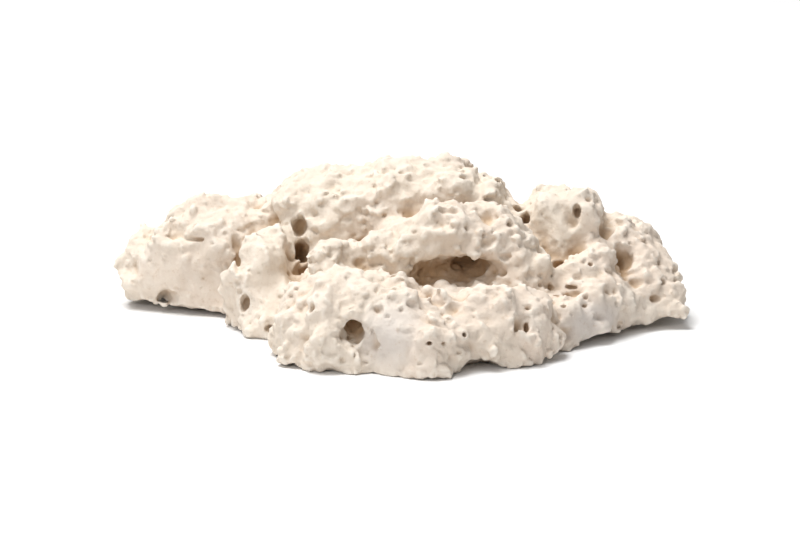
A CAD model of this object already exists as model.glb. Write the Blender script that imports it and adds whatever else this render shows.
"""The finish of a landscape boulder: porous reef limestone on a plain pale floor, in soft studio light.

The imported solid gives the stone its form. Its skin is turned into a field of distances, crags, knobs, borings
and pores are cut into that field, and the field becomes a fine mesh again. The colours follow how hollow and
how sheltered each place is. Sizes of the stone and its holes are in millimetres.
"""
import itertools
import math

import bmesh
import bpy
import numpy as np
import openvdb
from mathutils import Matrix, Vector
from mathutils.bvhtree import BVHTree


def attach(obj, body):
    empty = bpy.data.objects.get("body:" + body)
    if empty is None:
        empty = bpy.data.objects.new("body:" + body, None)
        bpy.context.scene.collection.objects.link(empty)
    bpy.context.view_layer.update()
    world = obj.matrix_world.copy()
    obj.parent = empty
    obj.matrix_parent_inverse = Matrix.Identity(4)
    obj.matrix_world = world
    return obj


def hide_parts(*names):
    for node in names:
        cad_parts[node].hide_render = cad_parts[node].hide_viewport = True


MM = 0.001
SEED = 5

# The grid of the field
VOXEL = 0.7
REACH = 7.0  # distances are kept this far from the skin
TRIANGLES = 190000

# The view of the photograph, which looks along +y and down
ELEVATION = math.radians(13.0)
DISTANCE = 2750.0
PHOTO_MIDDLE = (617.5, 345.0)  # the pixel that the camera looks at
PHOTO_SCALE = 1.377  # millimetres to a pixel at the stone
LOOK_AT = (0.0, 0.0, 27.0)  # the point of the stone's frame that both middles show
FRAME_WIDTH = 318.0  # of the view at the stone

# Weathering, as (kind, grain, height)
WEATHER = [
    ("billows", 12.0, 0.9),
    ("crags", 7.5, 0.8),
    ("crags", 4.2, 0.5),
    ("billows", 2.6, 0.3),
]

# Grounds that a smooth grey crust covers: name: (centre, radii)
CRUSTS = {
    "front_crust": ((-3, -62, 14), (17, 22, 18)),
    "right_crust": ((78, -22, 9), (22, 18, 11)),
}
# Bare grounds that the weathering left smoother, in the same form
CALM = {
    "left_face": ((-90, 30, 15), (26, 20, 17)),
    "narrow_face": ((-52, 6, 18), (12, 16, 22)),
    "right_block": ((68, 18, 44), (14, 12, 12)),
}
CALM_SHARE = 0.42  # of the weathering that both kinds keep at their middle

# Holes seen in the photograph: name: (x, y, half width, half height, depth).
# The first two are its pixels, the others millimetres.
HOLES = {
    "round_boring": (604.2, 362.2, 4.3, 4.0, 8.0),
    "scoop": (607.9, 367.8, 4.8, 6.5, 3.0),
    "left_hole": (591.5, 356.8, 1.9, 2.3, 5.0),
    "faint_dimple": (601.9, 355.7, 2.6, 2.6, 1.0),
    "faint_slot": (598.6, 355.7, 1.0, 2.0, 1.6),
    "crust_slit": (613.0, 352.4, 2.0, 0.9, 2.0),
    "knob_dish": (628.3, 354.9, 3.6, 3.0, 2.4),
    "second_dish": (635.9, 354.2, 2.9, 1.6, 2.2),
    "crust_eye_left": (626.0, 367.2, 1.2, 0.9, 2.6),
    "crust_eye_right": (630.0, 367.2, 1.0, 0.8, 2.0),
    "ring_hole": (635.9, 364.9, 1.1, 1.1, 3.0),
    "crust_pit": (617.9, 357.6, 1.1, 1.2, 1.6),
    "seam_pit": (632.1, 360.7, 1.2, 1.2, 2.0),
    "scoop_notch": (607.4, 369.7, 0.8, 2.0, 2.6),
    "low_dimple": (598.2, 370.2, 2.4, 1.6, 1.2),
    "toe_pit": (623.1, 373.1, 0.9, 0.9, 1.6),
    "eyelet": (643.9, 360.3, 3.4, 2.8, 1.6),
    "slit": (668.4, 329.3, 1.9, 3.1, 8.0),
    "brown_pit": (670.4, 339.1, 2.7, 4.2, 4.0),
    "crevice_head": (651.6, 328.2, 2.4, 2.4, 8.0),
    "crevice_foot": (653.6, 331.0, 2.2, 2.6, 7.0),
    "ledge_slit": (643.4, 325.3, 3.0, 1.1, 4.5),
    "crest_slit": (645.9, 320.2, 2.4, 1.1, 4.0),
    "crest_nick": (635.9, 319.4, 1.8, 0.8, 2.6),
    "ridge_dish": (631.9, 328.6, 4.6, 1.8, 3.0),
    "ridge_eye": (646.8, 327.2, 1.3, 1.0, 2.6),
    "roof_hole": (638.8, 342.5, 1.8, 1.5, 3.0),
    "roof_hollow": (642.8, 338.3, 2.8, 2.2, 3.0),
    "grey_hollow": (658.3, 340.2, 2.6, 3.0, 3.6),
    "dark_hole": (663.2, 344.0, 2.5, 2.3, 7.0),
    "small_hole": (672.5, 344.4, 1.2, 1.0, 2.4),
    "red_pit": (681.1, 332.2, 1.7, 2.3, 3.4),
    "block_nick": (672.1, 325.7, 1.4, 1.2, 2.6),
    "patch_a": (665.9, 353.7, 2.0, 1.2, 3.4),
    "patch_b": (671.1, 353.5, 1.3, 1.1, 3.0),
    "patch_c": (670.9, 356.3, 1.5, 0.9, 2.8),
    "patch_d": (664.7, 356.6, 1.2, 0.9, 2.6),
    "patch_e": (666.9, 351.0, 2.6, 0.9, 3.0),
    "patch_f": (658.2, 347.6, 1.2, 0.9, 2.6),
    "patch_g": (658.2, 350.3, 1.4, 0.9, 2.6),
    "patch_h": (661.7, 347.6, 1.1, 0.9, 2.8),
    "patch_i": (662.9, 353.2, 1.6, 1.0, 3.0),
    "patch_j": (668.8, 348.0, 2.4, 1.6, 1.8),
    "rim_eye": (654.5, 356.6, 1.4, 1.3, 3.2),
    "rim_slot": (653.9, 362.8, 1.0, 2.4, 3.6),
    "rim_groove": (651.0, 363.8, 1.0, 2.6, 1.8),
    "rim_spot": (649.7, 357.2, 1.2, 1.0, 1.6),
    "crust_hollow": (675.7, 359.5, 3.6, 2.2, 1.8),
    "end_hollow": (685.6, 349.5, 3.0, 2.6, 3.0),
    "end_groove": (691.0, 354.3, 2.6, 1.6, 2.8),
    "left_notch": (549.6, 353.5, 3.0, 2.6, 9.0),
    "crack_head": (570.3, 338.5, 2.0, 3.6, 2.6),
    "crack_middle": (570.8, 344.5, 1.8, 4.0, 2.8),
    "crack_foot": (572.6, 355.5, 2.2, 3.8, 7.0),
    "slab_foot": (580.0, 362.8, 2.0, 1.6, 3.5),
    "gap_upper": (588.6, 333.5, 3.2, 4.4, 8.0),
    "gap_middle": (589.4, 340.3, 3.4, 5.2, 14.0),
    "gap_lower": (589.0, 345.4, 3.6, 4.0, 10.0),
    "ledge_shadow": (558.1, 337.2, 4.6, 1.0, 2.4),
    "slab_nick_a": (585.8, 353.7, 0.9, 0.8, 1.8),
    "slab_nick_b": (582.7, 353.7, 0.9, 0.8, 1.6),
    "slab_nick_c": (587.6, 351.5, 1.0, 0.8, 2.0),
}
HOLE_RAG = 0.28  # how ragged their rims are, as a share of their narrower half
RAG_GRAIN = 2.6

# Knobs seen in the photograph: name: (x, y, radius, height), in the same form
KNOBS = {
    "rim_knob": (629.6, 350.6, 3.6, 1.6),
    "rim_knob_left": (625.4, 351.8, 2.6, 1.2),
    "ring": (635.9, 364.9, 2.6, 1.0),
    "eyelet_heart": (643.9, 360.2, 1.1, 0.8),
    "dish_heart": (628.0, 354.3, 1.0, 0.9),
    "scoop_rib_a": (602.5, 368.0, 1.7, 1.5),
    "scoop_rib_b": (603.9, 370.2, 1.8, 1.6),
    "scoop_rib_c": (605.2, 372.2, 1.9, 1.6),
}
KNOB_RISE = 0.5  # share of height less radius that a knob's middle lies above the skin

# Pores strewn over the skin: (count, smallest and largest radius, depth in radii, share left on calm ground)
PORES = [
    (50, 1.3, 2.6, 1.3, 0.05),
    (380, 0.8, 1.5, 1.3, 0.08),
    (1800, 0.5, 0.9, 1.3, 0.2),
]
PORE_LEAN = 0.5
PORE_STRETCH = 0.6
PORE_DEPTH_SPREAD = (0.7, 0.6)  # the least share of its depth that a pore has, and how much more it may have
PORE_RAG = 0.35
# Grains strewn over the skin: count, smallest and largest radius, share left on calm ground
GRAINS = (1800, 0.8, 1.7, 0.3)
GRAIN_STRETCH = 0.5
GRAIN_SINK = 0.7  # share of its radius that a grain's middle lies under the skin
BLEND = 0.5  # rounding of the rim where a hole or a knob meets the skin

# How thickly pores and grains crowd: the usual share, how much it varies over the skin, and the least
CROWD = 0.45
CROWD_SWING = 1.5
CROWD_LEAST = 0.04
CROWD_GRAIN = 21.0

# What the colours follow: name: (reach in millimetres, voxels that it is averaged over to each side)
MEASURES = {
    "pitted": (1.6, 2),
    "hollow": (4.0, 6),
    "sheltered": (REACH, 13),
}


class Noise:
    """Smooth gradient noise, about -0.8 to 0.8, the same at each run."""

    FACTORS = (73856093, 19349663, 83492791)
    SLOPES = 256  # a power of two
    GAIN = 1.5

    def __init__(self, seed):
        slopes = np.random.default_rng(seed).normal(size=(3, self.SLOPES))
        self.slopes = (slopes / np.linalg.norm(slopes, axis=0)).astype(np.float32)

    def __call__(self, points, grain):
        scaled = points.T / np.float32(grain)
        cell = np.floor(scaled)
        inner = scaled - cell
        fade = inner**3 * (inner * (inner * 6 - 15) + 10)
        whole = cell.astype(np.int32)
        keys = [[(whole[i] + step) * np.int32(self.FACTORS[i]) for step in (0, 1)] for i in range(3)]
        total = np.zeros(len(points), np.float32)
        for corner in itertools.product((0, 1), repeat=3):
            key = keys[0][corner[0]] ^ keys[1][corner[1]] ^ keys[2][corner[2]]
            key = (key ^ (key >> 13)) & (self.SLOPES - 1)
            height = np.zeros_like(total)
            weight = np.ones_like(total)
            for i, step in enumerate(corner):
                height += self.slopes[i][key] * (inner[i] - np.float32(step))
                weight *= fade[i] if step else 1 - fade[i]
            total += weight * height
        return total * np.float32(self.GAIN)


NOISE = [Noise(SEED + index) for index in range(6)]


def bent(points, grain, amount):
    """The points, pushed about so that a pattern on them loses its evenness."""
    push = np.stack([noise(points, grain) for noise in NOISE[3:6]], axis=1)
    return points + push * np.float32(amount)


def billows(points, grain):
    """Swollen cushions that meet in sharp valleys."""
    twisted = bent(points, grain * 1.3, grain * 0.35)
    large = 2.4 * np.abs(NOISE[0](twisted, grain))
    small = np.abs(NOISE[1](twisted, grain * 0.47))
    return large + small - 0.85


def crags(points, grain):
    """Sharp crests with hollows between them."""
    twisted = bent(points, grain * 1.1, grain * 0.5)
    return 0.6 - 2.3 * np.abs(NOISE[1](twisted, grain)) + 0.6 * NOISE[2](twisted, grain * 0.5)


RELIEF = {"billows": billows, "crags": crags}


def smooth_max(a, b, width):
    """The larger of two values, with the bend between them rounded over this width."""
    share = np.clip(0.5 + 0.5 * (a - b) / width, 0, 1)
    return b + (a - b) * share + width * share * (1 - share)


def smooth_min(a, b, width):
    return -smooth_max(-a, -b, width)


class Field:
    """Distances to the skin on a grid of voxels, below zero inside the stone."""

    def __init__(self, mesh):
        mesh.calc_loop_triangles()
        corners = np.empty(len(mesh.vertices) * 3, np.float32)
        mesh.vertices.foreach_get("co", corners)
        triangles = np.empty(len(mesh.loop_triangles) * 3, np.int32)
        mesh.loop_triangles.foreach_get("vertices", triangles)
        grid = openvdb.FloatGrid.createLevelSetFromPolygons(
            corners.reshape(-1, 3) / MM,
            triangles=triangles.reshape(-1, 3).astype(np.uint32),
            transform=openvdb.createLinearTransform(VOXEL),
            halfWidth=REACH / VOXEL,
        )
        first, last = (np.array(corner) for corner in grid.evalActiveVoxelBoundingBox())
        self.first = first
        self.value = np.full(last - first + 1, REACH, np.float32)
        grid.copyToArray(self.value, ijk=first.tolist())

    def points(self, index):
        """Where the voxels with these flat indices are."""
        cells = np.stack(np.unravel_index(index, self.value.shape), axis=1)
        return ((cells + self.first) * VOXEL).astype(np.float32)

    def near(self, reach):
        """The flat indices of the voxels this close to the skin."""
        return np.flatnonzero(np.abs(self.value.ravel()) < reach)

    def blur(self, passes):
        """Softens the skin: each pass is about one voxel wide."""
        for _ in range(passes):
            self.value = blurred(self.value, 1)

    def slopes(self, index):
        """The directions out of the stone at voxels with these flat indices."""
        cells = np.unravel_index(index, self.value.shape)
        found = []
        for axis in range(3):
            ahead, behind = list(cells), list(cells)
            ahead[axis] = np.minimum(cells[axis] + 1, self.value.shape[axis] - 1)
            behind[axis] = np.maximum(cells[axis] - 1, 0)
            found.append(self.value[tuple(ahead)] - self.value[tuple(behind)])
        outward = np.stack(found, axis=1)
        return outward / np.maximum(np.linalg.norm(outward, axis=1, keepdims=True), 1e-6)

    def block(self, centre, reach):
        """A slice of the field round a point, and the offset of each of its voxels from that point."""
        middle = centre / VOXEL - self.first
        low = np.maximum(np.floor(middle - reach / VOXEL).astype(int), 0)
        high = np.minimum(np.ceil(middle + reach / VOXEL).astype(int) + 1, self.value.shape)
        where = tuple(slice(a, b) for a, b in zip(low, high))
        axes = [(np.arange(a, b) + f) * VOXEL - c for a, b, f, c in zip(low, high, self.first, centre)]
        offset = np.stack(np.meshgrid(*axes, indexing="ij"), axis=-1)
        return where, offset.astype(np.float32)

    def lump(self, centre, axes, radii):
        """How far each voxel round an ellipsoid is from it, nearly, with the slice where they are."""
        where, offset = self.block(centre, max(radii) + 2 * BLEND + VOXEL)
        scaled = offset @ np.array(axes, np.float32).T / np.array(radii, np.float32)
        return where, (np.linalg.norm(scaled, axis=-1) - 1) * min(radii)

    def at(self, values, points):
        """Reads an array that has the field's shape at any points, between its voxels."""
        place = points / VOXEL - self.first
        cell = np.clip(np.floor(place).astype(int), 0, np.array(self.value.shape) - 2)
        inner = place - cell
        total = np.zeros(len(points))
        for corner in itertools.product((0, 1), repeat=3):
            weight = np.prod(np.where(corner, inner, 1 - inner), axis=1)
            total += weight * values[tuple((cell + corner).T)]
        return total


def blurred(values, radius):
    """The mean over a box of voxels, this many to each side of the middle one."""
    for axis in range(3):
        padding = [(0, 0)] * 3
        padding[axis] = (radius + 1, radius)
        running = np.cumsum(np.pad(values, padding, mode="edge"), axis=axis, dtype=np.float64)
        span = 2 * radius + 1
        ahead = np.take(running, range(span, running.shape[axis]), axis=axis)
        behind = np.take(running, range(running.shape[axis] - span), axis=axis)
        values = ((ahead - behind) / span).astype(np.float32)
    return values


def within(points, grounds):
    """One in the middle of any of these grounds, and zero away from them."""
    calm = np.zeros(len(points), np.float32)
    for centre, radii in grounds.values():
        offset = (points - np.array(centre, np.float32)) / np.array(radii, np.float32)
        calm = np.maximum(calm, np.clip(2 - 2 * np.linalg.norm(offset, axis=1), 0, 1))
    return calm


def calmness(points):
    """How far each point is from the full roughness, from zero to one."""
    return within(points, {**CRUSTS, **CALM})


def weather(field):
    """Roughens the skin, one grain size after another."""
    for kind, grain, height in WEATHER:
        index = field.near(2.5 * height + 1)
        points = field.points(index)
        share = 1 - (1 - CALM_SHARE) * calmness(points)
        field.value.ravel()[index] -= height * share * RELIEF[kind](points, grain)


def dig(field, centre, axes, radii, rag, raggedness):
    """Cuts an ellipsoid with a ragged rim out of the stone."""
    where, distance = field.lump(centre, axes, radii)
    distance = distance + raggedness * rag[where]
    field.value[where] = smooth_max(field.value[where], -distance, BLEND)


def heap(field, centre, axes, radii):
    """Adds an ellipsoid to the stone."""
    where, distance = field.lump(centre, axes, radii)
    field.value[where] = smooth_min(field.value[where], distance, BLEND)


def across(direction):
    """Three axes at right angles, of which the last is the direction and the first is level."""
    level = np.cross(direction, (0, 0, 1))
    level = level / np.linalg.norm(level)
    return np.stack([level, np.cross(level, direction), direction])


class Sight:
    """Finds the places on the stone that the photograph's pixels show."""

    def __init__(self, stone):
        corners = [vert.co / MM for vert in stone.vertices]
        self.tree = BVHTree.FromPolygons(corners, [tuple(face.vertices) for face in stone.polygons])
        self.ahead = Vector((0, math.cos(ELEVATION), -math.sin(ELEVATION)))
        self.up = Vector((0, math.sin(ELEVATION), math.cos(ELEVATION)))
        self.start = Vector(LOOK_AT) - self.ahead * DISTANCE

    def __call__(self, x, y):
        """The point under a pixel, the way into the stone and the way out of it.

        The way in lies halfway between the line of sight and straight in.
        """
        right = (x - PHOTO_MIDDLE[0]) * PHOTO_SCALE / DISTANCE
        rise = (PHOTO_MIDDLE[1] - y) * PHOTO_SCALE / DISTANCE
        line = (self.ahead + Vector((right, 0, 0)) + self.up * rise).normalized()
        point, normal, _, _ = self.tree.ray_cast(self.start, line)
        return np.array(point), np.array((line - normal).normalized()), np.array(normal)


def cut_seen(field, sight, rag):
    """Cuts the holes that the photograph shows, and heaps up its knobs."""
    for x, y, radius, height in KNOBS.values():
        point, _, outward = sight(x, y)
        middle = point + outward * (height - radius) * KNOB_RISE
        heap(field, middle, np.eye(3), (radius, radius, radius))
    for x, y, half_width, half_height, depth in HOLES.values():
        point, inward, _ = sight(x, y)
        raggedness = HOLE_RAG * min(half_width, half_height)
        dig(field, point, across(inward), (half_width, half_height, depth), rag, raggedness)


def strew(field, draw, count, smallest, largest, calm_share):
    """Picks places on the skin, thick on some ground and thin on other, with a radius for each."""
    index = field.near(0.5 * VOXEL)
    points = field.points(index)
    crowding = np.clip(CROWD + CROWD_SWING * NOISE[4](points, CROWD_GRAIN), CROWD_LEAST, 1)
    crowding *= 1 - (1 - calm_share) * calmness(points)
    chosen = draw.choice(len(index), count, replace=False, p=crowding / crowding.sum())
    radii = smallest + (largest - smallest) * draw.random(count) ** 2
    return points[chosen], field.slopes(index[chosen]), radii


def cut_strewn(field, rag):
    """Covers the skin with grains and pores, none of them round."""
    draw = np.random.default_rng(SEED)
    count, smallest, largest, calm_share = GRAINS
    for point, outward, radius in zip(*strew(field, draw, count, smallest, largest, calm_share)):
        stretch = 1 + GRAIN_STRETCH * draw.random(3)
        heap(field, point - outward * radius * GRAIN_SINK, across(-outward), radius * stretch)
    least, spread = PORE_DEPTH_SPREAD
    for count, smallest, largest, depth, calm_share in PORES:
        for point, outward, radius in zip(*strew(field, draw, count, smallest, largest, calm_share)):
            lean = outward + PORE_LEAN * draw.normal(size=3)
            axes = across(-lean / np.linalg.norm(lean))
            length = 1 + PORE_STRETCH * draw.random()
            radii = radius * np.array((length, 1, depth * (least + spread * draw.random())))
            dig(field, point, axes, radii, rag, PORE_RAG * radius)


def carve(field, sight):
    """Gives the smooth field its relief, pores, grains and holes, and keeps it above the floor."""
    field.blur(1)
    weather(field)
    rag = np.zeros_like(field.value)
    index = field.near(REACH * 0.9)
    rag.ravel()[index] = NOISE[2](field.points(index), RAG_GRAIN)
    cut_strewn(field, rag)
    cut_seen(field, sight, rag)
    level = (np.arange(field.value.shape[2]) + field.first[2]) * VOXEL
    field.value = np.maximum(field.value, -level[None, None, :]).astype(np.float32)


def skin(field):
    """The mesh where the field is zero, as points and four-sided faces."""
    grid = openvdb.FloatGrid(REACH)
    grid.copyFromArray(field.value, ijk=field.first.tolist())
    grid.transform = openvdb.createLinearTransform(VOXEL)
    points, _, faces = grid.convertToPolygons(0.0, 0.0)
    return points, faces[:, ::-1]


def new_mesh(name, points, faces):
    mesh = bpy.data.meshes.new(name)
    mesh.from_pydata(points.tolist(), [], faces.tolist())
    return mesh


def keep_largest(mesh):
    """Drops the crumbs that the carving cut loose from the stone."""
    bm = bmesh.new()
    bm.from_mesh(mesh)
    left, islands = set(bm.verts), []
    while left:
        stack, island = [left.pop()], []
        while stack:
            vert = stack.pop()
            island.append(vert)
            for edge in vert.link_edges:
                other = edge.other_vert(vert)
                if other in left:
                    left.remove(other)
                    stack.append(other)
        islands.append(island)
    islands.sort(key=len)
    crumbs = [vert for island in islands[:-1] for vert in island]
    bmesh.ops.delete(bm, geom=crumbs, context="VERTS")
    bm.to_mesh(mesh)
    bm.free()


def thin_out(stone):
    """Keeps about TRIANGLES triangles, most of them where the skin curves most."""
    stone.data.calc_loop_triangles()
    fewer = stone.modifiers.new("fewer", "DECIMATE")
    fewer.ratio = min(1.0, TRIANGLES / len(stone.data.loop_triangles))
    fewer.use_collapse_triangulate = True
    graph = bpy.context.evaluated_depsgraph_get()
    mesh = bpy.data.meshes.new_from_object(stone.evaluated_get(graph))
    stone.modifiers.clear()
    stone.data = mesh


def note(mesh, name, values):
    """Keeps a number for each vertex, for the stone's colours."""
    layer = mesh.attributes.new(name, "FLOAT", "POINT")
    layer.data.foreach_set("value", np.asarray(values, np.float32))


def measure(stone, field):
    """Notes how hollow and how sheltered the skin is at each vertex, and where it is crust."""
    points = np.empty(len(stone.data.vertices) * 3, np.float32)
    stone.data.vertices.foreach_get("co", points)
    points = points.reshape(-1, 3) / MM
    for name, (reach, radius) in MEASURES.items():
        around = blurred(blurred(np.clip(field.value, -reach, reach), radius), radius)
        note(stone.data, name, -field.at(around, points) / reach)
    note(stone.data, "crust", within(points, CRUSTS))


def make_stone(solid_node):
    field = Field(solid_node.data)
    carve(field, Sight(solid_node.data))
    points, faces = skin(field)
    mesh = new_mesh("stone", points * MM, faces)
    stone = bpy.data.objects.new("stone", mesh)
    bpy.context.scene.collection.objects.link(stone)
    thin_out(stone)
    keep_largest(stone.data)
    measure(stone, field)
    stone.data.shade_smooth()
    return stone


class Nodes:
    """A short way to write a material's nodes."""

    def __init__(self, material):
        material.use_nodes = True
        self.tree = material.node_tree
        self.shader = self.tree.nodes["Principled BSDF"]

    def add(self, kind, links=(), **settings):
        node = self.tree.nodes.new("ShaderNode" + kind)
        for key, value in settings.items():
            setattr(node, key, value)
        for socket, value in dict(links).items():
            self.plug(node.inputs[socket], value)
        return node

    def plug(self, socket, value):
        if isinstance(value, bpy.types.NodeSocket):
            self.tree.links.new(value, socket)
        else:
            socket.default_value = value

    def read(self, name):
        return self.add("Attribute", attribute_name=name).outputs["Fac"]

    def noise(self, where, scale, detail, roughness):
        links = {"Vector": where, "Scale": scale, "Detail": detail, "Roughness": roughness}
        return self.add("TexNoise", links).outputs["Fac"]

    def ramp(self, value, low, high):
        """Zero at low, one at high, and smooth between."""
        links = {"Value": value, "From Min": low, "From Max": high}
        return self.add("MapRange", links, interpolation_type="SMOOTHSTEP").outputs["Result"]

    def math(self, kind, a, b):
        return self.add("Math", {0: a, 1: b}, operation=kind).outputs[0]

    def mix(self, share, a, b):
        """The first colour where the share is zero, and the second where it is one."""
        node = self.add("Mix", data_type="RGBA")
        share_in, a_in, b_in, colour_out = 0, 6, 7, 2
        self.plug(node.inputs[share_in], share)
        self.plug(node.inputs[a_in], a)
        self.plug(node.inputs[b_in], b)
        return node.outputs[colour_out]

    def cover(self, colour, over, value, start, full, share):
        """Lays a second colour over the first, from nothing at start to its share at full."""
        return self.mix(self.math("MULTIPLY", self.ramp(value, start, full), share), colour, over)

    def stir(self, value, noise):
        """Raises and lowers a value by a noise, so that its bounds wander."""
        swing = self.math("MULTIPLY", self.math("SUBTRACT", noise, NOISE_MEAN), STIR)
        return self.math("ADD", value, swing)


# Noises of the material, as (scale to a metre, detail, roughness)
WIDE = (22.0, 3.0, 0.6)
MIDDLE = (90.0, 4.0, 0.65)
FINE = (420.0, 3.0, 0.7)
GRIT = (900.0, 4.0, 0.65)
NOISE_MEAN = 0.5
STIR = 0.5

CREAM = (0.70, 0.61, 0.51, 1)
CHALK = (0.81, 0.74, 0.65, 1)
CRUST = (0.62, 0.565, 0.52, 1)
TAN = (0.52, 0.38, 0.25, 1)
BROWN = (0.42, 0.275, 0.155, 1)
ROSE = (0.69, 0.585, 0.49, 1)


# Where a colour covers the ones before, as (value where it starts, value where it is full, share of cover)
ROSE_PATCHES = (0.35, 0.68, 1.0)
CHALK_PATCHES = (0.45, 0.75, 0.6)
CHALK_CRESTS = (-0.08, -0.45, 0.75)
TAN_HOLLOWS = (0.04, 0.42, 0.8)
BROWN_SHELTER = (0.1, 0.48, 0.85)
TAN_PITS = (0.25, 0.75, 0.5)
BROWN_SPECKS = (0.55, 0.75, 0.3)
CRUST_SHARE = 0.75

ROUGHNESS = (0.82, 0.98)
SPECULAR = 0.25
BUMP_STRENGTH = 0.5
BUMP_HEIGHT = 0.0006  # metres


def stone_material():
    """Cream and rose limestone, chalky on its crests, tan to brown in its hollows, grey where it is crust."""
    material = bpy.data.materials.new("reef_limestone")
    n = Nodes(material)
    where = n.add("TexCoord").outputs["Object"]
    wide = n.noise(where, *WIDE)
    middle = n.noise(where, *MIDDLE)
    fine = n.noise(where, *FINE)
    pitted, hollow, sheltered, crust = (n.read(name) for name in (*MEASURES, "crust"))
    colour = n.cover(CREAM, ROSE, wide, *ROSE_PATCHES)
    colour = n.cover(colour, CHALK, middle, *CHALK_PATCHES)
    colour = n.mix(n.math("MULTIPLY", crust, CRUST_SHARE), colour, CRUST)
    colour = n.cover(colour, CHALK, pitted, *CHALK_CRESTS)
    colour = n.cover(colour, TAN, n.stir(hollow, wide), *TAN_HOLLOWS)
    colour = n.cover(colour, BROWN, n.stir(sheltered, middle), *BROWN_SHELTER)
    colour = n.cover(colour, TAN, pitted, *TAN_PITS)
    colour = n.cover(colour, BROWN, fine, *BROWN_SPECKS)
    n.plug(n.shader.inputs["Base Color"], colour)
    smoothest, roughest = ROUGHNESS
    roughness = n.add("MapRange", {"Value": fine, "To Min": smoothest, "To Max": roughest}).outputs[0]
    n.plug(n.shader.inputs["Roughness"], roughness)
    n.shader.inputs["Specular IOR Level"].default_value = SPECULAR
    height = n.math("ADD", n.noise(where, *GRIT), fine)
    bump = n.add("Bump", {"Height": height, "Strength": BUMP_STRENGTH, "Distance": BUMP_HEIGHT})
    n.plug(n.shader.inputs["Normal"], bump.outputs["Normal"])
    return material


FLOOR_HALF = 4.0
FLOOR_COLOUR = (0.86, 0.86, 0.86, 1)
FLOOR_ROUGHNESS = 0.9
FLOOR_SPECULAR = 0.1


def make_floor():
    mesh = bpy.data.meshes.new("floor")
    corners = [(x * FLOOR_HALF, y * FLOOR_HALF, 0) for x, y in ((-1, -1), (1, -1), (1, 1), (-1, 1))]
    mesh.from_pydata(corners, [], [(0, 1, 2, 3)])
    floor = bpy.data.objects.new("floor", mesh)
    bpy.context.scene.collection.objects.link(floor)
    material = bpy.data.materials.new("floor_white")
    material.use_nodes = True
    shader = material.node_tree.nodes["Principled BSDF"]
    shader.inputs["Base Color"].default_value = FLOOR_COLOUR
    shader.inputs["Roughness"].default_value = FLOOR_ROUGHNESS
    shader.inputs["Specular IOR Level"].default_value = FLOOR_SPECULAR
    mesh.materials.append(material)


# Soft boxes: name: (place in metres, width and height in metres, watts)
LIGHTS = {
    "overhead": ((-0.35, 0.1, 1.5), (1.0, 0.9), 33.0),
    "front": ((-0.8, -1.8, 1.0), (1.0, 0.8), 11.0),
}
WORLD_STRENGTH = 0.26


def make_lights():
    for name, (place, (width, height), watts) in LIGHTS.items():
        light = bpy.data.lights.new(name, "AREA")
        light.shape = "RECTANGLE"
        light.size, light.size_y = width, height
        light.energy = watts
        box = bpy.data.objects.new(name, light)
        bpy.context.scene.collection.objects.link(box)
        box.location = place
        box.rotation_euler = (-Vector(place)).to_track_quat("-Z", "Y").to_euler()
    world = bpy.data.worlds.new("studio")
    world.use_nodes = True
    sky = world.node_tree.nodes["Background"]
    sky.inputs["Color"].default_value = (1, 1, 1, 1)
    sky.inputs["Strength"].default_value = WORLD_STRENGTH
    bpy.context.scene.world = world
    bpy.context.scene.view_settings.view_transform = "Standard"


SENSOR = 36.0
CLIP_END = 20.0


def make_camera():
    data = bpy.data.cameras.new("camera")
    camera = bpy.data.objects.new("camera", data)
    bpy.context.scene.collection.objects.link(camera)
    bpy.context.scene.camera = camera
    back = Vector((0, -math.cos(ELEVATION), math.sin(ELEVATION)))
    camera.location = (Vector(LOOK_AT) + back * DISTANCE) * MM
    camera.rotation_euler = (-back).to_track_quat("-Z", "Y").to_euler()
    data.sensor_width = SENSOR
    data.lens = data.sensor_width * DISTANCE / FRAME_WIDTH
    data.clip_end = CLIP_END


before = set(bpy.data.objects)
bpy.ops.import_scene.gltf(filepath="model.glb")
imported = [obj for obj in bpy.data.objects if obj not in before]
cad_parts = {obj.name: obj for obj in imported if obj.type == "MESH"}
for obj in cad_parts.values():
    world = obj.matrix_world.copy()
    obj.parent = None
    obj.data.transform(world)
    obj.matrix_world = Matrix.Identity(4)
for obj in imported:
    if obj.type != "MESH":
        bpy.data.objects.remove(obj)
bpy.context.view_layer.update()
stone = make_stone(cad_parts["boulder"])
stone.data.materials.append(stone_material())
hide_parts("boulder")
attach(stone, "root")
make_floor()
make_lights()
make_camera()
